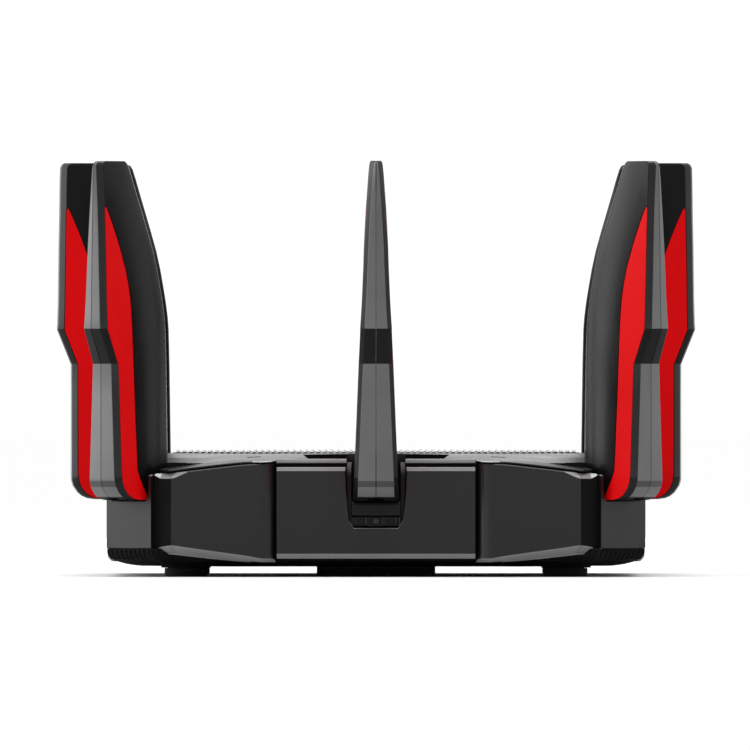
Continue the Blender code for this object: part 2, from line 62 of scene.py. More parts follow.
# (radius, height) of the housing's top edge, its bottom edge and the top cover's surface
WING_TOP = ((0, 51.4), (94, 51.4), (118, 51.1), (132.4, 49.5), (143.3, 46.9), (151, 45.6), (156, 44.8),
            (180, 40))
WING_LOW = ((0, 6.4), (128, 6.4), (134, 7.4), (143, 9.3), (150, 10.7), (156, 12.2), (180, 15))
COVER_TOP = ((0, 54.4), (100, 54.3), (117, 52.5), (130, 51.1), (143.3, 48.3), (151, 46.9), (156, 46.1),
             (180, 41))


def along(line, x):
    """The height of a line of (distance, height) points at a distance."""
    for (x0, y0), (x1, y1) in zip(line, line[1:]):
        if x <= x1:
            return y0 + (y1 - y0) * max(0, (x - x0) / (x1 - x0))
    return line[-1][1]


# ---- shapes

def mesh_from(shape, name):
    """A mesh in metres from a millimetre bmesh."""
    bmesh.ops.scale(shape, vec=(MM, MM, MM), verts=shape.verts)
    bmesh.ops.recalc_face_normals(shape, faces=shape.faces)
    mesh = bpy.data.meshes.new(name)
    shape.to_mesh(mesh)
    shape.free()
    return mesh


def placed(name, data):
    """A new object of the scene that holds the data."""
    made = bpy.data.objects.new(name, data)
    bpy.context.scene.collection.objects.link(made)
    return made


def workpiece(shape):
    return placed("workpiece", mesh_from(shape, "workpiece"))


def carved(shape, name, joins=(), meets=(), cuts=(), rounding=None, sharp=32, materials=()):
    """The finished mesh of a shape: others joined on, met and cut, then its edges rounded."""
    base = workpiece(shape)
    for material in materials:
        base.data.materials.append(material)
    used = []
    for operation, others in (("UNION", joins), ("INTERSECT", meets), ("DIFFERENCE", cuts)):
        for other in others:
            used.append(workpiece(other))
            modifier = base.modifiers.new(operation, "BOOLEAN")
            modifier.operation = operation
            modifier.object = used[-1]
    if rounding:
        modifier = base.modifiers.new("rounding", "BEVEL")
        width, modifier.segments, angle = (*rounding, 30)[:3]
        modifier.width = width * MM
        modifier.limit_method = "ANGLE"
        modifier.angle_limit = math.radians(angle)
        modifier.harden_normals = True
    graph = bpy.context.evaluated_depsgraph_get()
    mesh = bpy.data.meshes.new_from_object(base.evaluated_get(graph))
    mesh.name = name
    for item in (base, *used):
        old = item.data
        bpy.data.objects.remove(item)
        bpy.data.meshes.remove(old)
    if not rounding:
        mesh.shade_smooth()
        mesh.set_sharp_from_angle(angle=math.radians(sharp))
    return mesh


def coated(mesh, *materials):
    mesh.materials.clear()
    for material in materials:
        mesh.materials.append(material)
    return mesh


def painted(shape, name, *materials, **carving):
    return coated(carved(shape, name, **carving), *materials)


def piece(mesh, name, body=BODY, replaces=None, place=None):
    """A visible piece, riding on a body and standing for its CAD node."""
    made = placed(name, mesh)
    if place is not None:
        made.matrix_world = place
    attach(made, body)
    if replaces:
        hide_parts(replaces)


def shown(name, shape, material, body=BODY, replaces=None, slot="satin_black", **carving):
    """A visible piece of one material, carved from a shape."""
    piece(painted(shape, name, material, **carving), name, body, replaces)


def spun(angle):
    return Matrix.Rotation(math.radians(angle), 4, "Z")


def side_point(angle, reach, across, height):
    """A point given by its reach and across of one side."""
    return spun(angle) @ Vector((reach, across, height))


def add_box(shape, low, high, turn=None):
    centre = (Vector(low) + Vector(high)) / 2
    size = Vector(high) - Vector(low)
    place = Matrix.Translation(centre) @ Matrix.Diagonal((*size, 1))
    bmesh.ops.create_cube(shape, size=1, matrix=(turn @ place) if turn else place)


def add_rod(shape, start, end, radius, sides=24):
    line = Vector(end) - Vector(start)
    turn = line.to_track_quat("Z", "Y").to_matrix().to_4x4()
    place = Matrix.Translation((Vector(start) + Vector(end)) / 2) @ turn
    bmesh.ops.create_cone(shape, cap_ends=True, segments=sides, radius1=radius, radius2=radius,
                          depth=line.length, matrix=place)


def rod(*ends_and_size):
    shape = bmesh.new()
    add_rod(shape, *ends_and_size)
    return shape


def add_prism(shape, outline, offset):
    face = shape.faces.new([shape.verts.new(point) for point in outline])
    made = bmesh.ops.extrude_face_region(shape, geom=[face])["geom"]
    bmesh.ops.translate(shape, verts=[v for v in made if isinstance(v, bmesh.types.BMVert)], vec=offset)


def prism(outline, offset):
    shape = bmesh.new()
    add_prism(shape, outline, offset)
    return shape


def add_loft(shape, sections, paint=None, joined=False):
    """Joins rings of equal length: closed by end caps, or joined last to first. paint(row, i) is a face's slot."""
    rings = [[shape.verts.new(point) for point in section] for section in sections]
    pairs = list(zip(rings, rings[1:]))
    if joined:
        pairs.append((rings[-1], rings[0]))
    for row, (low, high) in enumerate(pairs):
        count = len(low)
        for i in range(count):
            j = (i + 1) % count
            face = shape.faces.new((low[i], low[j], high[j], high[i]))
            if paint:
                face.material_index = paint(row, i)
    if not joined:
        shape.faces.new(rings[0])
        shape.faces.new(rings[-1])


def boxes(*pairs, turn=None):
    shape = bmesh.new()
    for low, high in pairs:
        add_box(shape, low, high, turn)
    return shape


def filleted(corners, steps=3):
    """A 2-D line of (x, y, radius) corners with the ones that have a radius rounded."""
    points = []
    for i, (x, y, radius) in enumerate(corners):
        here = Vector((x, y))
        if not radius or i in (0, len(corners) - 1):
            points.append((x, y))
            continue
        back = (Vector(corners[i - 1][:2]) - here).normalized()
        ahead = (Vector(corners[i + 1][:2]) - here).normalized()
        start, end = here + back * radius, here + ahead * radius
        for k in range(steps + 1):
            t = k / steps
            point = start * (1 - t) ** 2 + here * 2 * t * (1 - t) + end * t ** 2
            points.append((point.x, point.y))
    return points


def turned_shape(profile, steps=96, closed=False):
    """A profile of (radius, height) turned about +Z. A closed profile is a ring; any other ends on the axis."""
    shape = bmesh.new()
    rings = [[shape.verts.new((radius * math.cos(2 * math.pi * k / steps),
                               radius * math.sin(2 * math.pi * k / steps), height))
              for k in range(steps if radius else 1)] for radius, height in profile]
    pairs = list(zip(rings, rings[1:])) + ([(rings[-1], rings[0])] if closed else [])
    for a, b in pairs:
        for k in range(steps):
            j = (k + 1) % steps
            corners = list(dict.fromkeys((a[k % len(a)], a[j % len(a)], b[j % len(b)], b[k % len(b)])))
            if len(corners) > 2:
                shape.faces.new(corners)
    return shape


# ---- materials

ROUGHNESS_DRIFT = 0.06


def add_node(tree, kind, **values):
    """A new shader node with its input values: From_Min sets the input called From Min."""
    made = tree.nodes.new("ShaderNode" + kind)
    for label, value in values.items():
        made.inputs[label.replace("_", " ")].default_value = value
    return made


def procedural(name, color, roughness, metallic=0, tint=0.25, grain=2600, bump=0.000004, gloss=0.5,
               stretch=(1, 1, 1)):
    """A finish whose colour and roughness drift over centimetres, with a fine moulded grain in its bump."""
    made = bpy.data.materials.new(name)
    made.use_nodes = True
    tree = made.node_tree

    def link(source, output, target, label):
        tree.links.new(source.outputs[output], target.inputs[label])

    surface = tree.nodes["Principled BSDF"]
    surface.inputs["Metallic"].default_value = metallic
    surface.inputs["Specular IOR Level"].default_value = gloss
    place = add_node(tree, "TexCoord")
    mapping = add_node(tree, "Mapping", Scale=stretch)
    link(place, "Object", mapping, "Vector")
    drift = add_node(tree, "TexNoise", Scale=38, Detail=5)
    fine = add_node(tree, "TexNoise", Scale=grain, Detail=3)
    for noise in (drift, fine):
        link(mapping, "Vector", noise, "Vector")
    shade = add_node(tree, "Mix")
    shade.data_type = "RGBA"
    for label, share in (("A", 1 - tint), ("B", 1 + tint)):
        shade.inputs[label].default_value = (*(c * share for c in color), 1)
    link(drift, "Fac", shade, "Factor")
    link(shade, "Result", surface, "Base Color")
    rough = add_node(tree, "MapRange", From_Min=0.3, From_Max=0.7, To_Min=roughness - ROUGHNESS_DRIFT,
                     To_Max=roughness + ROUGHNESS_DRIFT)
    blend = add_node(tree, "Mix")
    blend.data_type = "FLOAT"
    blend.inputs["Factor"].default_value = 0.35
    link(drift, "Fac", blend, "A")
    link(fine, "Fac", blend, "B")
    link(blend, "Result", rough, "Value")
    link(rough, "Result", surface, "Roughness")
    relief = add_node(tree, "Bump", Strength=0.35, Distance=bump)
    link(fine, "Fac", relief, "Height")
    link(relief, "Normal", surface, "Normal")
    return made


HOUSING = procedural("housing_black", (0.0045, 0.0045, 0.0048), 0.4)
COVER = procedural("cover_black", (0.006, 0.006, 0.0063), 0.36)
PANEL = procedural("panel_black", (0.0045, 0.0045, 0.0048), 0.38)
# Matt black that also serves as painted shade: grooves, wells, the wings' returns, the underside, behind the seams
# and under the grille
MATT_BLACK_PAINTED_SHADE = procedural("matt_black_painted_shade", (0.0015, 0.0015, 0.0016), 0.62, gloss=0.15)
FIN_BLACK = procedural("fin_black", (0.0035, 0.0035, 0.0038), 0.25, gloss=0.24)
FIN_BAND = procedural("fin_band_black", (0.003, 0.003, 0.0034), 0.46, gloss=0.18)
FIN_METAL = procedural("fin_gunmetal", (0.125, 0.125, 0.127), 0.36, metallic=0.12)
# A darker gunmetal: a painted shade band across the fin's foot
FIN_PAINTED_SHADE = procedural("fin_gunmetal_painted_shade", (0.04, 0.04, 0.041), 0.36)
FIN_BEVEL = procedural("fin_bevel_black", (0.011, 0.011, 0.0113), 0.34, gloss=0.4)
RED = procedural("trim_red", (0.72, 0.0012, 0.003), 0.38, tint=0.05, gloss=0.1)
# Light grey on the black grille's bars: a painted reflection of the bright surround
BAR_PAINTED_REFLECTION = procedural("grille_bar_painted_reflection", (0.37, 0.37, 0.37), 0.42)
# A black darker than the housing for the brackets and the notch cheeks: painted shade in the notches
BRACKET_BLACK_PAINTED_SHADE = procedural("bracket_black_painted_shade", (0.003, 0.003, 0.0032), 0.46, gloss=0.28)
RUBBER = procedural("foot_rubber", (0.005, 0.005, 0.005), 0.8, grain=1500, bump=0.00005)
TIN = procedural("port_tin", (0.55, 0.55, 0.57), 0.3, metallic=1, tint=0.1)
GOLD = procedural("contact_gold", (0.8, 0.56, 0.2), 0.25, metallic=1, tint=0.08)
SOCKET = procedural("socket_black", (0.018, 0.018, 0.02), 0.5)
USB_BLUE = procedural("usb_tongue", (0.02, 0.1, 0.42), 0.45, tint=0.1)
SINK = procedural("sink_aluminium", (0.62, 0.63, 0.65), 0.38, metallic=1, tint=0.08, stretch=(1, 0.1, 1))
BOARD = procedural("board_green", (0.008, 0.045, 0.026), 0.42, tint=0.3)
# A lighter, half-metallic grey on bevels, chamfers and slopes: painted highlights
EDGE_PAINTED_HIGHLIGHT = procedural("edge_painted_highlight", (0.28, 0.28, 0.283), 0.34, metallic=0.45, gloss=0.6)
KEYS = procedural("key_black", (0.016, 0.016, 0.018), 0.34)


# ---- antennas

CORNER_OFFSET = 35.5
PIVOT_REACH = 126
PIVOT_HEIGHT = 43.8
FOOT_CORNER = 10
FOOT_HALF = 10.2
FIN_INNER = 98.4
FIN_BACK = 136
SEAM = 0.015
RIDGE_RISE = 0.6
BEVEL_REACH = 2.75
BEVEL_SIDE = 2.1
INNER_THINNING = 0.55
THINNING_POWER = 3.5
# How far the red trim's surfaces and its recess lie under the broad face, and the gap round it
TRIM_FRONT, TRIM_UNDER, TRIM_RECESS, TRIM_GAP = 0.15, 0.95, 1.35, 0.32
# (height, outer edge, inner edge, half thickness) above the rounded foot
FIN_STATIONS = ((94, FIN_BACK, FIN_INNER, 7.75), (109.5, 142.2, 98.6, 7.1), (115, 142, 99, 6.75),
                (122, 141.8, 100.1, 6.4), (129, 141.7, 101.6, 6.1), (136.5, 141.6, 103.3, 5.75),
                (144.7, 141.5, 105.7, 5.45), (153.5, 141.3, 109, 5), (162.5, 141.1, 112.5, 4.5),
                (170, 141, 115.4, 3.95), (176.5, 140.9, 117.8, 3.5), (181.3, 140.75, 119.7, 3.05),
                (182.7, 140, 120.7, 2.8), (183.4, 138.9, 121.8, 2.4))
BAND = (94, 109.5)
# Heights of the painted shade band across the foot's facet
FOOT_PAINTED_SHADE = (39, 41)
# Trim outline as (reach, height), outer border upwards and inner border downwards
TRIM_OUTER = ((117.6, 34), (122.3, 34.05), (125.9, 34.7), (128.7, 36.4), (130.8, 38.9), (131.9, 41.8),
              (132.35, 45.4), (132.45, 93.6), (138.5, 109.1), (138.3, 122), (138, 145), (137.7, 162.4))
TRIM_INNER = ((137, 163.4), (133.7, 155.9), (131, 149.2), (128.6, 142.5), (126.3, 135.8), (124.8, 129),
              (123.8, 122.5), (123.4, 115), (123.3, 100), (123.2, 80), (122.9, 60), (122.6, 47.2),
              (121.2, 43.6), (116.6, 34.9), (116.8, 34.2))


def fin_rows():
    """The stations of the whole fin, from its rounded foot corner up."""
    slope = (FOOT_HALF - FIN_STATIONS[0][3]) / (FIN_STATIONS[0][0] - PIVOT_HEIGHT + FOOT_CORNER)
    angles = [math.radians(degrees) for degrees in (-90, -72, -58, -44, -24, -8, 0)]
    outer = [(PIVOT_HEIGHT + FOOT_CORNER * math.sin(a), PIVOT_REACH + FOOT_CORNER * math.cos(a)) for a in angles]
    outer += [(height, FIN_BACK) for height in (56, 68, 81)]
    return [(height, reach, FIN_INNER, FOOT_HALF - slope * (height - PIVOT_HEIGHT + FOOT_CORNER))
            for height, reach in outer] + list(FIN_STATIONS)


def broad_half(reach, row):
    """The fin's half thickness behind its bevel, thinning in a curve to its inner edge."""
    _, outer, inner, half = row
    start = outer - RIDGE_RISE - BEVEL_REACH
    share = min(1, max(0, (start - reach) / (start - inner)))
    return half * (1 - INNER_THINNING * share ** THINNING_POWER)


def half_section(row, shrink=0):
    """(reach, across) of one half of the fin: seam groove, ridge facet, bevel, broad face, round inner edge."""
    _, outer, inner, half = row
    start = outer - RIDGE_RISE - BEVEL_REACH
    corners = [(outer - 0.45, SEAM, 0), (outer - 0.04, SEAM + 0.22, 0),
               (outer - RIDGE_RISE, half - BEVEL_SIDE, 0.35), (start, half - shrink, 0.45)]
    for share in (0.25, 0.45, 0.6, 0.72, 0.82, 0.91):
        reach = start + (inner - start) * share
        corners.append((reach, broad_half(reach, row) - shrink, 0))
    corners += [(inner, broad_half(inner, row) - shrink, 1.6), (inner, SEAM, 0)]
    return filleted(corners)


def local(reach, across, height, side=1):
    """A point from an antenna's pivot, on its left half or mirrored on its right one."""
    return (reach - PIVOT_REACH, across * side, height - PIVOT_HEIGHT)


def fin_half(side, shrink=0, paint=None):
    shape = bmesh.new()
    add_loft(shape, [[local(reach, across, row[0], side) for reach, across in half_section(row, shrink)]
                     for row in fin_rows()], paint)
    return shape


def fin_paint(row, i):
    """Slot 0 is the broad face, 1 the ridge facet, 2 the band and the underside, 3 a painted shade band on the
    foot, 4 the bevel.
    """
    rows = fin_rows()
    low, high = rows[row][0], rows[row + 1][0]
    if i > 6 or (i > 3 and low < PIVOT_HEIGHT):
        return 0
    if BAND[0] - 0.1 < low and high < BAND[1] + 0.1:
        return 2
    if i > 3:
        return 4
    if FOOT_PAINTED_SHADE[0] < low < FOOT_PAINTED_SHADE[1]:
        return 3
    return 1 if low > PIVOT_HEIGHT - FOOT_CORNER + 1 else 2


def grown(outline, distance):
    """A closed 2-D outline moved out by a distance at every edge."""
    area = sum(a[0] * b[1] - b[0] * a[1] for a, b in zip(outline, outline[1:] + outline[:1]))
    sign = 1 if area > 0 else -1
    points = []
    for i, here in enumerate(outline):
        back, ahead = Vector(outline[i - 1]), Vector(outline[(i + 1) % len(outline)])
        first = (Vector(here) - back).normalized()
        second = (ahead - Vector(here)).normalized()
        one = Vector((first.y, -first.x)) * sign
        two = Vector((second.y, -second.x)) * sign
        middle = (one + two).normalized()
        reach = min(distance / max(0.35, middle.dot(one)), 2 * abs(distance))
        points.append(tuple(Vector(here) + middle * reach))
    return points


def trim_prism(side, grow):
    outline = grown(list(TRIM_OUTER + TRIM_INNER), grow)
    return prism([local(reach, 1, height, side) for reach, height in outline], (0, side * 16, 0))


def make_fin_meshes(side):
    """The shell and the red trim of one half of a fin, about the antenna's pivot."""
    recess = carved(trim_prism(side, TRIM_GAP), "recess", cuts=[fin_half(side, TRIM_RECESS)])
    recess_shape = bmesh.new()
    recess_shape.from_mesh(recess)
    bmesh.ops.scale(recess_shape, vec=(1 / MM,) * 3, verts=recess_shape.verts)
    slot = boxes((local(FIN_INNER - 5, -1, 30), local(PIVOT_REACH + 4, 3.4, PIVOT_HEIGHT + 4)))
    if side < 0:
        bmesh.ops.scale(slot, vec=(1, -1, 1), verts=slot.verts)
    hole = rod((0, 0, 0), (0, side * 6.1, 0), 1.95)
    shell = carved(fin_half(side, 0, fin_paint), "shell", cuts=[recess_shape, slot, hole], sharp=28,
                   materials=(FIN_BLACK, FIN_METAL, FIN_BAND, FIN_PAINTED_SHADE, FIN_BEVEL))
    trim = painted(trim_prism(side, 0), "trim", RED, meets=[fin_half(side, TRIM_FRONT)],
                   cuts=[fin_half(side, TRIM_UNDER)], rounding=(0.22, 2, 50))
    return shell, trim


def pivot_place(angle):
    """Where an antenna's pivot lies, turned to its direction."""
    reach = PIVOT_REACH + (CORNER_OFFSET if angle % 90 else 0)
    return spun(angle) @ Matrix.Translation((reach * MM, 0, PIVOT_HEIGHT * MM))


def make_antennas():
    halves = {label: make_fin_meshes(side) for label, side in (("left", -1), ("right", 1))}
    for name, angle in ANTENNAS.items():
        body = f"{name}_antenna"
        place = pivot_place(angle)
        for label, (shell, trim) in halves.items():
            piece(shell, f"{name}_fin_{label}", body, f"{body}_{label}_shell", place)
            piece(trim, f"{name}_blade_{label}", body, f"{body}_{label}_trim", place)


# ---- housing

# (across, reach, top bevel, bottom bevel) from the middle of a side to the start of its corner
SIDE_LINE = ((0, HEADER, 0.3, 0.3), (16, HEADER, 0.3, 0.3), (30, HEADER, 0.3, 0.3), (43.6, HEADER, 0.3, 0.5),
             (44.4, 114.4, 0.35, 1), (45.2, 115.3, 0.35, 1.4), (46.2, 116.3, 0.35, 1.7), (47.5, 117.3, 0.35, 1.8),
             (49.2, 118.2, 0.35, 1.7), (51.2, 118.8, 0.35, 1.6), (53.4, WING, 0.35, 1.8), (56, WING, 0.35, 2.1),
             (60, WING, 0.35, 2.4), (72, WING, 0.35, 2.9), (84, WING, 0.4, 3.2), (89, WING, 2.2, 3.4),
             (91.2, WING, 2.6, 3.4), (91.7, 118.2, 2.6, 3.4), (96, 116.5, 2.4, 2.4), (99, 115.4, 0.5, 0.5),
             (CHOP_NEAR, WING, 0.5, 1))
REAR_LINE = ((0, HEADER, 0.3, 0.3), (30, HEADER, 0.3, 0.3), (60, HEADER, 0.3, 0.3),
             (91.4, HEADER, 0.3, 0.3), (92.3, 116.4, 0.5, 1.5), (93.3, 117.7, 0.6, 2), (95, 118.7, 0.6, 2.2),
             (97, WING, 0.6, 2.2), (CHOP_NEAR, WING, 0.5, 2.2))
CORNER_STEPS = 4
# The lines' points past the middle of a side are drawn in along it by this share
PAST_MIDDLE, DRAWN_SHARE = 50, 0.991
HOUSING_LINES = {"front": SIDE_LINE, "rear": REAR_LINE}
HOUSING_CORE = 106
ROOF_THICKNESS = 1.6
SOFT_CHAMFER = ((0, 1), (0.05, 0.87), (0.45, 0.45), (0.87, 0.05), (1, 0))


def full_outline(lines):
    """The whole plan outline, as (point, values) in order, from each side's half line mirrored and turned."""
    points = []
    lines = {label: tuple((a * (DRAWN_SHARE if a > PAST_MIDDLE else 1), *rest) for a, *rest in half)
             for label, half in lines.items()}
    for label, angle in SIDES.items():
        half = lines.get(label, lines["front"])
        row = [(-across, *rest) for across, *rest in reversed(half[1:])] + [tuple(item) for item in half]
        points += [(side_point(angle, reach, across, 0).to_2d(), values) for across, reach, *values in row]
        last = half[-1]
        start = side_point(angle, last[1], last[0], 0).to_2d()
        end = side_point(angle + 90, last[1], -last[0], 0).to_2d()
        points += [(start.lerp(end, k / CORNER_STEPS), last[2:]) for k in range(1, CORNER_STEPS)]
    return points


def inset(points, distances):
    """A closed plan outline moved in by a distance at each point, with mitred corners."""
    moved = []
    for i, here in enumerate(points):
        first = (here - points[i - 1]).normalized()
        second = (points[(i + 1) % len(points)] - here).normalized()
        one, two = Vector((-first.y, first.x)), Vector((-second.y, second.x))
        middle = (one + two).normalized()
        moved.append(here + middle * distances[i] / max(0.4, middle.dot(one)))
    return moved


def at_height(points, line, drop=0):
    return [(p.x, p.y, along(line, p.length) - drop) for p in points]


def edge_ring(edge, amounts, share, line, rises):
    """The outline moved in by a share of each point's amount, above or below the line by its rise."""
    ring = inset(edge, [share * amount for amount in amounts])
    return [(p.x, p.y, along(line, e.length) + rise) for p, e, rise in zip(ring, edge, rises)]


def core_of(lines, reach):
    """The outline's points drawn in to one reach, so that a roof's rings never cross."""
    flat = {label: tuple((across, reach) for across, *_ in half) for label, half in lines.items()}
    return [point for point, _ in full_outline(flat)]


def roof_rings(lines, reach):
    """Three plan rings from the grille's hole out to the roof's core."""
    core = core_of(lines, reach)
    hole = [point.normalized() * GRILLE_HOLE for point in core]
    return hole, [a.lerp(b, 0.5) for a, b in zip(hole, core)], core


def joined_loft(rings):
    shape = bmesh.new()
    add_loft(shape, rings, joined=True)
    return shape


def housing_shape():
    """The side housing: walls with bevels top and bottom, and a roof in to the grille's hole."""
    outline = full_outline(HOUSING_LINES)
    edge = [point for point, _ in outline]
    tops = [values[0] for _, values in outline]
    lows = [values[1] for _, values in outline]
    roof = roof_rings(HOUSING_LINES, HOUSING_CORE)
    rings = [at_height(ring, WING_TOP) for ring in roof]
    for share, drop in reversed(SOFT_CHAMFER):
        rings.append(edge_ring(edge, tops, share, WING_TOP, [-drop * top for top in tops]))
    for share, drop in SOFT_CHAMFER:
        rings.append(edge_ring(edge, lows, share, WING_LOW, [drop * low for low in lows]))
    wall = inset(edge, [max(WALL, low + 0.4) for low in lows])
    rings.append(at_height(wall, WING_LOW))
    rings += [at_height(ring, WING_TOP, ROOF_THICKNESS) for ring in (wall, *reversed(roof))]
    return joined_loft(rings)


NOTCH_SIDE = ((9.8, 21.6), (11.8, 24.8), (12.5, 30), (13.1, 38), (13.5, 46.5), (12.9, 50.6), (12.8, 70))
NOTCH_CORNER = ((10.5, 33.2), (11.5, 34.4), (12.1, 37), (12.5, 40.5), (12.6, 52), (12.6, 70))
NOTCH_BACK = 94.6


def notches(grow=0):
    """The slots that the antennas' feet stand in."""
    shape = bmesh.new()
    for angle in ANTENNAS.values():
        corner = bool(angle % 90)
        line = NOTCH_CORNER if corner else NOTCH_SIDE
        reach = NOTCH_BACK + (CORNER_OFFSET if corner else 0)
        outline = [side_point(angle, reach, across + grow, height) for across, height in line]
        outline += [side_point(angle, reach, -across - grow, height) for across, height in reversed(line)]
        add_prism(shape, outline, spun(angle) @ Vector((40, 0, 0)))
    return shape


# (half width, top) of the openings for the panels
REAR_WINDOW, SIDE_WINDOW = (91.75, 43.7), (44.2, 48.8)


def windows():
    """The openings that the side panels fill."""
    shape = bmesh.new()
    for label, angle in SIDES.items():
        half, top = REAR_WINDOW if label == "rear" else SIDE_WINDOW
        add_box(shape, (106, -half, 5), (123, half, top), spun(angle))
    return shape


# (across, reach, bevel) of the top cover: a lip over each panel, a knuckle at the wings' inner ends, then the wings
COVER_LINE = ((0, 114.6, 1), (20, 114.6, 1), (36, 114.6, 1), (43.6, 115.4, 1.2), (46, 118.7, 1.6), (49, 119.5, 1.8),
              (52, 119, 1.4), (55, 118.1, 0.8), (58, 117.6, 0.4), (62, 117.4, 0.35), (70, 117.4, 0.35),
              (80, 117.4, 0.35), (92.4, 117.4, 0.35))
COVER_CHAMFER = ((1, 0), (0.62, 0.1), (0.3, 0.32), (0.08, 0.65), (0, 1))
COVER_CORE = 110.6
COVER_EDGE = 0.75
COVER_FLOAT = 0.08
DEEPEST_CHAMFER = 0.62
SKIRT_INSET, UNDERCUT = 0.12, 2.6
LIP_LOW = 50.2
LIP_HALF = 43.9


def cover_shape():
    """The thin top cover: a rounded edge over an undercut that leaves a shadow gap above the housing."""
    lines = {"front": COVER_LINE}
    outline = full_outline(lines)
    edge = [point for point, _ in outline]
    tops = [values[0] for _, values in outline]
    roof = roof_rings(lines, COVER_CORE)
    rings = [at_height(ring, COVER_TOP) for ring in roof]
    for share, drop in COVER_CHAMFER:
        rings.append(edge_ring(edge, tops, share, COVER_TOP, [-drop * min(top, DEEPEST_CHAMFER) for top in tops]))
    skirt, under = (inset(edge, [distance] * len(edge)) for distance in (SKIRT_INSET, UNDERCUT))
    rings += [at_height(ring, COVER_TOP, COVER_EDGE) for ring in (skirt, under)]
    rings += [at_height(ring, WING_TOP, -COVER_FLOAT) for ring in (under, *reversed(roof))]
    return joined_loft(rings)


def lips():
    """The bar of the cover that hangs over each side panel."""
    shape = bmesh.new()
    profile = filleted([(114.2, LIP_LOW, 0), (116.5, LIP_LOW, 0), (116.7, 50.5, 0.1), (116.2, 52, 0.2),
                        (114.2, 52.1, 0)])
    for angle in SIDES.values():
        add_prism(shape, [side_point(angle, reach, -LIP_HALF, height) for reach, height in profile],
                  spun(angle) @ Vector((0, 2 * LIP_HALF, 0)))
    return shape


def troughs():
    """The shallow well behind each lip, with sloping ends, and two small slots beside it."""
    shape = bmesh.new()
    for angle in SIDES.values():
        add_loft(shape, [[side_point(angle, reach, across, height) for reach, across in
                          ((97.5, -half), (116, -half), (116, half), (97.5, half))]
                         for half, height in ((28.4, 50.9), (34.6, 55.6))])
        for side in (-1, 1):
            place = side * 54
            add_box(shape, (99, place - 3.1, 52.4), (101.6, place + 3.1, 56), spun(angle))
    return shape


def side_faces(mesh):
    """Each face once for every side, with its reach, across, height and normal seen from that side."""
    for face in mesh.polygons:
        for angle in SIDES.values():
            turn = spun(-angle)
            yield (face, *(turn @ (face.center / MM)), turn @ face.normal)


def paint_housing(mesh):
    """The grooves and the wings' returns get the matt black as painted shade, and the bevels a lighter grey as
    painted highlights.
    """
    for face, reach, across, height, normal in side_faces(mesh):
        across = abs(across)
        if reach < 113 or across > 100.3 or normal.x < 0.15:
            continue
        upright = abs(normal.z) < 0.35
        if not upright and abs(normal.z) < 0.93 and across > 44.4 and (height < 20 or across > 84):
            face.material_index = 2
        elif upright and (across < 44.9 or 91.3 < across < 99.9):
            face.material_index = 1


def paint_slopes(mesh, slot, low, high):
    """Gives a slot to the faces that slope between level and upright."""
    for face in mesh.polygons:
        if low < abs(face.normal.z) < high:
            face.material_index = slot


def paint_cover(mesh):
    """The wells' walls get the matt black as painted shade, and the wells' sloping ends and the knuckles over the
    wings' inner ends a lighter grey as painted highlights.
    """
    for face, reach, across, _, normal in side_faces(mesh):
        if 96 < reach < 114.8 and abs(across) < 34.5 and normal.z < 0.9:
            face.material_index = 2 if abs(normal.y) > 0.3 else 1
        elif reach > 115.8 and 44 < abs(across) < 54 and 0.2 < normal.z < 0.975:
            face.material_index = 2


def make_housing():
    housing = painted(housing_shape(), "housing", HOUSING, MATT_BLACK_PAINTED_SHADE, EDGE_PAINTED_HIGHLIGHT, cuts=[notches(), windows()],
                      rounding=(0.18, 2, 38))
    paint_housing(housing)
    piece(housing, "side_housing", replaces="upper_housing")
    cover = painted(cover_shape(), "cover", COVER, MATT_BLACK_PAINTED_SHADE, EDGE_PAINTED_HIGHLIGHT, cuts=[troughs(), notches()],
                    rounding=(0.15, 2, 38))
    paint_cover(cover)
    piece(cover, "top_cover")
    lip = painted(lips(), "lips", COVER, EDGE_PAINTED_HIGHLIGHT, cuts=[notches()], rounding=(0.15, 2, 38))
    # The lip's slopes get the lighter grey as a painted highlight
    paint_slopes(lip, 1, 0.25, 0.97)
    piece(lip, "cover_lips")


# ---- panels

PANEL_HALF = 43.85
PANEL_ROUNDING = (0.3, 3, 28)
PANEL_SECTION = ((114.6, 8.5), (115.3, 8), (116.1, 8), (117.3, 10.1), (117.3, 46.7), (116.6, 48.5), (114.6, 48.5))


def make_inner_frame():
    """A dark wall behind the panels' seams, in the matt black as painted shade inside the body, open at the
    notches, the ports and the buttons.
    """
    outer, inner = core_of(HOUSING_LINES, 110.6), core_of(HOUSING_LINES, 109.6)
    shape = joined_loft([[(p.x, p.y, height) for p in ring] for ring, height in
                         ((outer, 7), (outer, 50.2), (inner, 50.2), (inner, 7))])
    openings = boxes(((12.9, 100, 15.5), (83.7, 122, 30.2)), ((-83, 100, 15.5), (-18.2, 122, 32.4)),
                     *(((104, y - 5.4, 27), (122, y + 5.4, 33)) for y in KEY_PLACES.values()))
    shown("inner_frame", shape, MATT_BLACK_PAINTED_SHADE, slot="body_black", cuts=[openings, notches(0.4)])


def make_panels():
    """The front, left and right panels, the right one with its two key openings."""
    for label in ("front", "left", "right"):
        angle = SIDES[label]
        shape = prism([side_point(angle, reach, -PANEL_HALF, height) for reach, height in PANEL_SECTION],
                      spun(angle) @ Vector((0, 2 * PANEL_HALF, 0)))
        cuts = [notches()]
        if label == "right":
            cuts.append(boxes(*(((110, y - 5, 27.2), (122, y + 5, 32.8)) for y in KEY_PLACES.values())))
        panel = painted(shape, f"{label}_panel", PANEL, EDGE_PAINTED_HIGHLIGHT, cuts=cuts, rounding=PANEL_ROUNDING)
        # The panel's chamfers get the lighter grey as a painted highlight
        paint_slopes(panel, 1, 0.25, 0.9)
        piece(panel, f"{label}_side_panel", replaces=f"{label}_panel")


# ---- lower housing, feet and grille

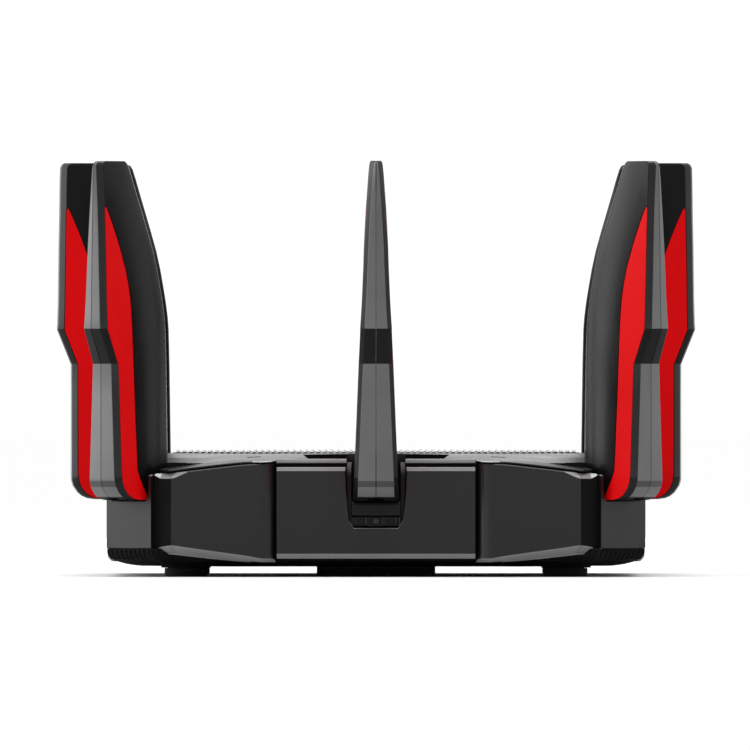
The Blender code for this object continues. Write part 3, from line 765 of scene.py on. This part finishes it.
RIB_PITCH = 2.84
RIB_DEEP = 0.75
FOOT_PLACES = tuple((x, y) for x in (-84, 84) for y in (-84, 84))
SCREW_PLACES = tuple((x, y) for x in (-66, 66) for y in (-66, 66))
PAD_PLACE = 86
SLOT_PITCH = 14
# Half of a side of the lower housing's rim, which swells out under the corners
TRAY_LINE = ((0, 113.4), (86, 113.4), (92, 114.4), (97, 117), (100.4, 118.9))


def spaced_outline(step):
    """The lower housing's rim outline as points at equal spaces, an even number of them."""
    rough = [point for point, _ in full_outline({"front": TRAY_LINE})]
    lengths = [(rough[(i + 1) % len(rough)] - p).length for i, p in enumerate(rough)]
    total = sum(lengths)
    count = 2 * round(total / step / 2)
    points, i, done = [], 0, 0
    for k in range(count):
        goal = total * k / count
        while done + lengths[i] < goal:
            done += lengths[i]
            i += 1
        points.append(rough[i].lerp(rough[(i + 1) % len(rough)], (goal - done) / lengths[i]))
    return points


def drawn_in(points, distances):
    """A plan outline moved towards the centre, a little more than asked because its corners lie slanted."""
    return [point * (1 - 1.12 * distance / point.length) for point, distance in zip(points, distances)]


def make_tray():
    """The lower housing: a shallow dish whose sloping edge is a band of fine ribs."""
    edge = spaced_outline(RIB_PITCH / 4)
    ribbed = [RIB_DEEP if i % 4 in (0, 1) else 0 for i in range(len(edge))]
    rings = [[(p.x, p.y, 12.6) for p in drawn_in(edge, [4] * len(edge))]]
    for distance, height, cut in ((0.9, 12.6, 0), (0.1, 11.9, 0), (0, 11.6, 1), (0.3, 9.9, 1),
                                  (1.9, 7.8, 1), (6.5, 6.4, 1), (10.5, 5.5, 1), (15, 4.9, 1)):
        ring = drawn_in(edge, [distance + cut * deep for deep in ribbed])
        rings.append([(p.x, p.y, height) for p in ring])
    for share, height in ((0.985, 4.7), (0.72, 4.25), (0.35, 4.2)):
        base = drawn_in(edge, [16] * len(edge))
        rings.append([(p.x * share, p.y * share, height) for p in base])
    shape = bmesh.new()
    add_loft(shape, rings)
    bosses = [rod((x, y, 3.9), (x, y, 8), 11, 48) for x, y in FOOT_PLACES]
    pads = boxes(*(((-26.2, y - 7, 0.5), (26.2, y + 7, 7)) for y in (-PAD_PLACE, PAD_PLACE)))
    bmesh.ops.bevel(pads, geom=[e for e in pads.edges if abs((e.verts[0].co - e.verts[1].co).z) > 1],
                    offset=2.5, segments=4, affect="EDGES")
    slots = boxes(*(((x * SLOT_PITCH - 2, side * 36 - 24, 0), (x * SLOT_PITCH + 2, side * 36 + 24, 7.4))
                    for x in range(-4, 5) for side in (-1, 1)))
    holes = bmesh.new()
    for x, y in SCREW_PLACES:
        add_rod(holes, (x, y, 0), (x, y, 8), 4, sides=32)
    # The dish is the matt black, darker as painted shade under the body
    shown("lower_tray", shape, MATT_BLACK_PAINTED_SHADE, replaces="lower_housing", slot="body_black", joins=[*bosses, pads],
          cuts=[slots, holes], sharp=30)
    profile = ((0, 5.9), (0.7, 5.9), (1, 5.3), (3, 5.2), (3.4, 5.6), (3.4, 7.6), (0, 7.6))
    for x, y in SCREW_PLACES:
        screw = turned_shape(profile, steps=32)
        bmesh.ops.translate(screw, verts=screw.verts, vec=(x, y, 0))
        shown(f"screw_{'r' if x > 0 else 'l'}{'b' if y > 0 else 'f'}", screw, TIN, slot="port_metal")


def make_feet():
    profile = filleted([(0, 0.35, 0), (6.2, 0.35, 0.15), (6.5, 0, 0.15), (9.5, 0, 0.7),
                        (9.5, 3.75, 0.3), (0, 3.75, 0)])
    for y, x in sorted((y, x) for x, y in FOOT_PLACES):
        place = f"{'rear' if y > 0 else 'front'}_{'right' if x > 0 else 'left'}"
        foot = turned_shape(profile, steps=64)
        bmesh.ops.translate(foot, verts=foot.verts, vec=(x, y, 0))
        shown(f"rubber_foot_{place}", foot, RUBBER, replaces=f"foot_{place}", slot="rubber")


MESH_RADIUS = 85.5
RIB_RADIUS = 90.6
RIB_HALF = 0.72
CELL = 2.84
CELL_OPENING = 0.72
MESH_TOP = 54.9
MESH_THICKNESS = 1.1
SPOKES = 12


def make_grille():
    """The round top: tapered bars and a smooth rim over a honeycomb mesh, on a spoked support."""
    shape = bmesh.new()
    found = {}

    def vert(x, y):
        key = (round(x, 3), round(y, 3))
        if key not in found:
            found[key] = shape.verts.new((x, y, MESH_TOP))
        return found[key]

    row_step = CELL * math.sqrt(3) / 2
    outer, inner = CELL / math.sqrt(3), CELL / math.sqrt(3) * CELL_OPENING
    corners = [(math.sin(k * math.pi / 3), math.cos(k * math.pi / 3)) for k in range(6)]
    rows = int(MESH_RADIUS / row_step) + 1
    for row in range(-rows, rows + 1):
        for column in range(-32, 33):
            x = (column + (row % 2) / 2) * CELL
            y = row * row_step
            if math.hypot(x, y) > MESH_RADIUS - 0.3:
                continue
            for (ax, ay), (bx, by) in zip(corners, corners[1:] + corners[:1]):
                shape.faces.new((vert(x + ax * outer, y + ay * outer), vert(x + bx * outer, y + by * outer),
                                 vert(x + bx * inner, y + by * inner), vert(x + ax * inner, y + ay * inner)))
    base = workpiece(shape)
    thick = base.modifiers.new("thick", "SOLIDIFY")
    thick.thickness = MESH_THICKNESS * MM
    thick.offset = -1
    graph = bpy.context.evaluated_depsgraph_get()
    mesh = bpy.data.meshes.new_from_object(base.evaluated_get(graph))
    bpy.data.objects.remove(base)
    piece(coated(mesh, COVER), "grille_mesh", replaces="top_grille")
    rim = turned_shape(filleted([(84.2, 54.9, 0), (86.6, 54.9, 0.3), (90.6, 54.6, 0.4), (91.1, 54.2, 0.2),
                                 (91.1, 51.2, 0.1), (84.2, 51.2, 0)]), steps=160, closed=True)
    shown("grille_rim", rim, COVER)
    bars = bmesh.new()
    count = int(RIB_RADIUS / CELL)
    for k in range(-count, count + 1):
        x = k * CELL
        end = math.sqrt(RIB_RADIUS ** 2 - x ** 2) - 0.6
        rings = []
        for y, top in ((-end, 55), (-end + 5.5, 55.75), (end - 5.5, 55.75), (end, 55)):
            section = filleted([(x - RIB_HALF, MESH_TOP, 0), (x - 0.6, top, 0.2), (x + 0.6, top, 0.2),
                                (x + RIB_HALF, MESH_TOP, 0)])
            rings.append([(across, y, height) for across, height in section])
        add_loft(bars, rings)
    # The bars' light grey is a painted reflection
    shown("grille_bars", bars, BAR_PAINTED_REFLECTION)
    spokes = bmesh.new()
    for k in range(SPOKES):
        add_box(spokes, (9, -0.8, 52.2), (84.6, 0.8, 53.7), spun(k * 360 / SPOKES))
    hub = turned_shape(((0, 53.7), (12, 53.7), (12, 52.1), (0, 52.1)), steps=48)
    # The spokes under the mesh are the matt black as painted shade
    shown("grille_spokes", hub, MATT_BLACK_PAINTED_SHADE, joins=[spokes], rounding=(0.2, 2))


# ---- antenna mounts

def make_cheeks(corner, top):
    """The two curved walls that fill a notch each side of the fin's foot."""
    line = NOTCH_CORNER if corner else NOTCH_SIDE
    profile = filleted([(94.9, 22, 0), (113, 22, 0.5), (114.6, 30, 3), (114.4, top - 5, 3),
                        (109.5, top + 0.6, 4), (94.9, top + 0.6, 0)], steps=5)
    shape = bmesh.new()
    for side in (-1, 1):
        add_prism(shape, [local(reach, side * 10.75, height) for reach, height in profile],
                  (0, side * 6, 0))
    outline = [local(90, across - 0.1, height) for across, height in line]
    outline += [local(90, 0.1 - across, height) for across, height in reversed(line)]
    # The cheeks' darker black is painted shade in the notch
    return painted(shape, "cheeks", BRACKET_BLACK_PAINTED_SHADE, meets=[prism(outline, (40, 0, 0))], rounding=(0.3, 3))


def wide_prism(outline, half):
    """A (reach, height) outline about an antenna's pivot, spread to both sides."""
    return prism([local(reach, -half, height) for reach, height in outline], (0, 2 * half, 0))


def make_mount(corner, top):
    """A hinge bracket: a back plate and box, a stepped block, its latch and the hinge arm with its pin."""
    low, half, face = (33.6, 7.4, 115.2) if corner else (22.3, 10.7, 117)
    plate = wide_prism([(94.9, low), (97.2, low), (97.2, top), (94.9, top)], 12.3)
    block = wide_prism(filleted([(95.4, 27, 0), (face, 27, 0.5), (face, 33.2, 1.6), (96, 33.4, 0)]), half)
    rim = [(3.4 * math.cos(math.radians(a)), 3.4 * math.sin(math.radians(a))) for a in range(-90, 91, 15)]
    arm = prism([(x, -2.9, z) for x, z in [*rim, (-30.2, 3.4), (-30.2, -3.4)]], (0, 5.8, 0))
    pin = rod((0, -5.6, 0), (0, 5.6, 0), 1.6, 32)
    backing = boxes((local(93.5, -19.5, 35 if corner else 21), local(94.95, 19.5, top + 0.9)))
    across, bottom, reach, roof = (7.4, 27.2, 114.9, 33.5) if corner else (11.4, 22.4, 113.6, 26.5)
    latch = boxes((local(95.4, -across, bottom), local(reach, across, roof)))
    # The bracket's darker black is painted shade in the notch
    return painted(plate, "mount", BRACKET_BLACK_PAINTED_SHADE, joins=[block, arm, pin, backing, latch], rounding=(0.25, 2))


def make_mounts():
    for corner, top in ((False, 50), (True, 44.5)):
        mount = make_mount(corner, top)
        cheeks = make_cheeks(corner, top)
        detail = None if corner else painted(latch_details(), "latch", KEYS, rounding=(0.12, 2))
        for name, angle in ANTENNAS.items():
            if bool(angle % 90) is not corner:
                continue
            place = pivot_place(angle)
            piece(mount, f"{name}_bracket", replaces=f"{name}_antenna_mount", place=place)
            piece(cheeks, f"{name}_cheeks", place=place)
            if detail:
                piece(detail, f"{name}_latch", place=place)


def latch_details():
    """The small ribs, dividers and button in the window under a bracket's block."""
    shape = bmesh.new()
    for across, half in ((-10.6, 0.25), (-9.6, 0.25), (-8.8, 0.2), (-4.4, 0.3), (2.9, 0.3), (4, 0.2), (8.9, 0.25),
                         (10.4, 0.3)):
        add_box(shape, local(113.7, across - half, 22.9), local(114.5, across + half, 26.4))
    add_rod(shape, local(113.7, 0, 24.6), local(114.7, 0, 24.6), 1.3, sides=32)
    add_box(shape, local(113.7, -3.8, 22.5), local(114.1, 2.4, 22.9))
    return shape


# ---- rear panel, ports and buttons

REAR_HALF = 91.4
REAR_SECTION = ((114.6, 9), (116.2, 9), (117.3, 10.3), (117.3, 42.1), (116.2, 43.4), (114.6, 43.4))
VENTS, VENT_PITCH, VENT_START, VENT_SLANT = 15, 4.4, 22, 1.5
PORT_FACE = 117.6
JACK_PITCH = 13.9
JACKS = tuple(48.3 + JACK_PITCH * k for k in range(-2, 3))
CONTACT_PITCH = 1.02
# Half of a network socket's stepped opening, from its floor up to the latch slot
JACK_MOUTH = ((5.95, 18.3), (5.95, 24.3), (3.2, 24.3), (3.2, 25.4), (2, 25.4), (2, 26.3))
USB_CENTRE = -26
USB_PITCH = 2.4
USB_FLOORS = (17.9, 25.1)
DC_PLACE = (-46, 21.8)
POWER_ACROSS, RESET_ACROSS, PRESS_HEIGHT = -62, -78, 22


def mirrored(half):
    return [(-x, z) for x, z in half] + [(x, z) for x, z in reversed(half)]


def add_backward(shape, outline, near, far):
    """A prism of an (x, height) outline from one depth to another."""
    add_prism(shape, [(x, near, z) for x, z in outline], (0, far - near, 0))


def facing_back(shape, x, height):
    """Lays a shape turned about +Z on its side, so that it points out of the rear panel."""
    bmesh.ops.transform(shape, verts=shape.verts,
                        matrix=Matrix.Translation((x, 0, height)) @ Matrix.Rotation(math.radians(-90), 4, "X"))
    return shape


def make_rear_panel():
    """The panel with its port openings, button holes and slanted vents, and a thin frame round each port."""
    shape = prism([(-REAR_HALF, reach, height) for reach, height in REAR_SECTION], (2 * REAR_HALF, 0, 0))
    openings = boxes(((13.25, 110, 15.85), (83.35, 122, 29.85)), ((-33.5, 110, 15.85), (-18.5, 122, 32.05)),
                     ((-51.3, 110, 15.85), (-40.7, 122, 27.7)))
    holes = bmesh.new()
    for across, radius, sides in ((POWER_ACROSS, 4.6, 64), (RESET_ACROSS, 1.65, 32)):
        add_rod(holes, (across, 110, PRESS_HEIGHT), (across, 122, PRESS_HEIGHT), radius, sides)
    vents = bmesh.new()
    for side in (-1, 1):
        for k in range(VENTS):
            x = side * (VENT_START + VENT_PITCH * k)
            end = side * VENT_SLANT
            outline = [(x - 1, 34.2), (x + 1, 34.2), (x + 1 + end, 39.6), (x - 1 + end, 39.6)]
            add_backward(vents, outline, 112, 119)
    panel = painted(shape, "rear", PANEL, EDGE_PAINTED_HIGHLIGHT, cuts=[notches(), openings, holes, vents], rounding=PANEL_ROUNDING)
    piece(panel, "rear_side_panel", replaces="rear_panel")
    frames = boxes(((12.9, 117, 15.5), (83.7, 117.55, 30.2)), ((-33.8, 117, 15.5), (-18.2, 117.55, 32.4)),
                   ((-51.6, 117, 15.5), (-40.4, 117.55, 28.05)))
    inner = boxes(((13.3, 116, 15.9), (83.3, 119, 29.8)), ((-33.45, 116, 15.9), (-18.55, 119, 32)),
                  ((-51.25, 116, 15.9), (-40.75, 119, 27.65)))
    shown("port_frames", frames, KEYS, cuts=[inner, notches(0.05)], rounding=(0.12, 2))


def make_network_ports():
    """A tin block of five sockets, each with a black liner and eight sprung contacts."""
    shape = boxes(((13.55, 96, 16.15), (83.05, PORT_FACE, 29.55)))
    mouths, liner, hollows, contacts = (bmesh.new() for _ in range(4))
    for centre in JACKS:
        outline = [(x + centre, z) for x, z in mirrored(JACK_MOUTH)]
        add_backward(mouths, outline, 101.6, 122)
        add_backward(liner, grown(outline, -0.03), 101.7, PORT_FACE - 0.35)
        add_backward(hollows, grown(outline, -0.55), 103, 122)
        for k in range(8):
            x = centre + (k - 3.5) * CONTACT_PITCH
            outline = [(115.9, 18.8), (116.2, 19.1), (107.2, 22.2), (104, 22.2), (104, 21.9), (107.1, 21.9)]
            add_prism(contacts, [(x - 0.24, y, z) for y, z in outline], (0.48, 0, 0))
    seams = boxes(*(((x + JACK_PITCH / 2 - 0.12, 112, 16), (x + JACK_PITCH / 2 + 0.12, 118, 30))
                    for x in JACKS[:-1]))
    shown("ethernet_shield", shape, TIN, replaces="ethernet_port_block", slot="port_metal",
          cuts=[mouths, seams], rounding=(0.2, 2))
    shown("ethernet_sockets", liner, SOCKET, cuts=[hollows], rounding=(0.1, 2))
    shown("ethernet_contacts", contacts, GOLD, slot="port_metal", rounding=(0.05, 1))


def make_usb_ports():
    """A tin block of two sockets, each with a blue tongue over four contacts."""
    shape = boxes(((-33.2, 96, 16.15), (-18.8, PORT_FACE, 31.75)))
    mouths, tongues, contacts = bmesh.new(), bmesh.new(), bmesh.new()
    for low in USB_FLOORS:
        add_box(mouths, (USB_CENTRE - 6.1, 103.6, low), (USB_CENTRE + 6.1, 122, low + 5))
        add_box(tongues, (USB_CENTRE - 5.5, 103.4, low + 2.7), (USB_CENTRE + 5.5, 116.2, low + 4.5))
        for k in range(4):
            x = USB_CENTRE + (k - 1.5) * USB_PITCH
            add_box(contacts, (x - 0.55, 105, low + 2.55), (x + 0.55, 115.2, low + 2.75))
    springs = boxes(*(((x - 1, 111, 31.6), (x + 1, 115, 31.9)) for x in (USB_CENTRE - 2.8, USB_CENTRE + 2.8)))
    shown("usb_shield", shape, TIN, replaces="usb_port_block", slot="port_metal", cuts=[mouths, springs],
          rounding=(0.25, 3))
    shown("usb_tongues", tongues, USB_BLUE, rounding=(0.25, 2))
    shown("usb_contacts", contacts, GOLD, slot="port_metal", rounding=(0.05, 1))


def make_power_jack():
    x, height = DC_PLACE
    shape = boxes(((x - 5, 102.6, 16.15), (x + 5, PORT_FACE, 27.4)))
    bore = facing_back(turned_shape(((0, 106.6), (3.5, 106.6), (3.5, 116.9), (4.2, 117.7), (4.2, 120),
                                     (0, 120)), steps=64), x, height)
    shown("power_socket", shape, SOCKET, replaces="power_jack", cuts=[bore], rounding=(0.35, 3))
    pin = turned_shape(filleted([(0, 106.4, 0), (1.6, 106.4, 0), (1.6, 107.4, 0.2), (0.95, 107.9, 0.2),
                                 (0.95, 116.2, 0.5), (0, 116.5, 0)]), steps=32)
    shown("power_pin", facing_back(pin, x, height), TIN, slot="port_metal")


def make_buttons():
    """A dished power button, a pin-sized reset button and the two keys of the right side."""
    cap = turned_shape(filleted([(0, 107, 0), (4.2, 107, 0.3), (4.2, 118.9, 0.9), (3, 118.85, 0.4),
                                 (2.7, 118.35, 0.3), (0, 118.2, 0)], steps=4), steps=64)
    shown("power_cap", facing_back(cap, POWER_ACROSS, PRESS_HEIGHT), KEYS, "power_push", "power_button")
    stem = turned_shape(filleted([(0, 107, 0), (1.3, 107, 0.2), (1.3, 116.9, 0.5), (0, 116.9, 0)]),
                        steps=32)
    shown("reset_stem", facing_back(stem, RESET_ACROSS, PRESS_HEIGHT), KEYS, "reset_push", "reset_button")
    for label, place in KEY_PLACES.items():
        outline = filleted([(place - 4.6, 27.6, 0), (place + 4.6, 27.6, 1.2), (place + 4.6, 32.4, 1.2),
                            (place - 4.6, 32.4, 1.2), (place - 4.6, 27.6, 0)], steps=5)[:-1]
        shape = prism([(108, y, z) for y, z in outline], (10.3, 0, 0))
        ridge = bmesh.new()
        for k in (-1, 0, 1):
            add_rod(ridge, (118.45, place + k * 1.5, 28.6), (118.45, place + k * 1.5, 31.4), 0.32, sides=16)
        shown(f"{label}_key", shape, KEYS, f"{label}_push", f"{label}_button", cuts=[ridge], rounding=(0.35, 3))


def finish_inside():
    """The board and the heatsink keep their CAD shapes and get their own finishes."""
    for node, material in (("main_board", BOARD), ("heatsink", SINK)):
        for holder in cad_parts[node].material_slots:
            holder.material = material


# ---- stage

WHITE = (1, 1, 1, 1)
FLOOR_SIZE = 30000
FLOOR_SEEN, FLOOR_REFLECTED = 0.66, 0.55
BACKDROP_SEEN, BACKDROP_REFLECTED = 1.05, 0.4


def by_ray(tree, seen, other, output):
    """Sends one shader to the camera, and another to every other ray."""
    path = add_node(tree, "LightPath")
    mix = add_node(tree, "MixShader")
    tree.links.new(path.outputs["Is Camera Ray"], mix.inputs["Fac"])
    tree.links.new(other.outputs[0], mix.inputs[1])
    tree.links.new(seen.outputs[0], mix.inputs[2])
    tree.links.new(mix.outputs["Shader"], tree.nodes[output].inputs["Surface"])


def make_floor():
    """A floor that looks white, and is a mid grey to the light that reflects off it."""
    finish = procedural("floor_white", (FLOOR_SEEN,) * 3, 0.75, tint=0.004, grain=60, bump=0)
    tree = finish.node_tree
    dull = add_node(tree, "BsdfDiffuse", Color=(*(FLOOR_REFLECTED,) * 3, 1))
    by_ray(tree, tree.nodes["Principled BSDF"], dull, "Material Output")
    shape = bmesh.new()
    bmesh.ops.create_grid(shape, x_segments=8, y_segments=8, size=FLOOR_SIZE)
    floor = placed("floor", mesh_from(shape, "floor"))
    floor.data.materials.append(finish)


def make_world():
    """White behind the object, and a dim grey surround for what it reflects."""
    world = bpy.data.worlds.new("studio")
    world.use_nodes = True
    tree = world.node_tree
    back = tree.nodes["Background"]
    back.inputs["Color"].default_value = WHITE
    back.inputs["Strength"].default_value = BACKDROP_SEEN
    dim = add_node(tree, "Background", Color=WHITE, Strength=BACKDROP_REFLECTED)
    by_ray(tree, back, dim, "World Output")
    bpy.context.scene.world = world


def area_light(name, place, aim, size, power):
    data = bpy.data.lights.new(name, "AREA")
    data.shape = "RECTANGLE"
    data.size, data.size_y = size
    data.energy = power
    made = placed(name, data)
    made.location = place
    made.rotation_euler = (Vector(aim) - Vector(place)).to_track_quat("-Z", "Y").to_euler()
    return made


def make_lights():
    """A broad overhead light that keeps the floor white, a softbox behind, and one each side for the facets."""
    data = bpy.data.lights.new("overhead", "SUN")
    data.energy = 3.6
    data.angle = math.radians(70)
    placed("overhead", data).location = (0, 0, 3)
    back = area_light("back_softbox", (0, 2.6, 0.75), (0, 0, 0.06), (3.4, 1.5), 20)
    back.visible_camera = False
    area_light("left_softbox", (-1.7, 0, 0.55), (0, 0, 0.09), (2.4, 1.7), 28)
    area_light("right_softbox", (1.7, 0, 0.55), (0, 0, 0.09), (2.4, 1.7), 6)


def make_camera():
    """A long lens from far in front, level with the middle of the antennas."""
    data = bpy.data.cameras.new("camera")
    data.sensor_width = 36
    data.lens = 1293.5
    data.clip_start = 1
    data.clip_end = 100
    camera = placed("camera", data)
    camera.location = (-0.00045, -12, 0.08906)
    camera.rotation_euler = (math.radians(90), 0, 0)
    bpy.context.scene.camera = camera
    bpy.context.scene.view_settings.view_transform = "Standard"


make_housing()
make_inner_frame()
make_panels()
make_tray()
make_feet()
make_grille()
make_mounts()
make_antennas()
make_rear_panel()
make_network_ports()
make_usb_ports()
make_power_jack()
make_buttons()
finish_inside()
make_floor()
make_world()
make_lights()
make_camera()
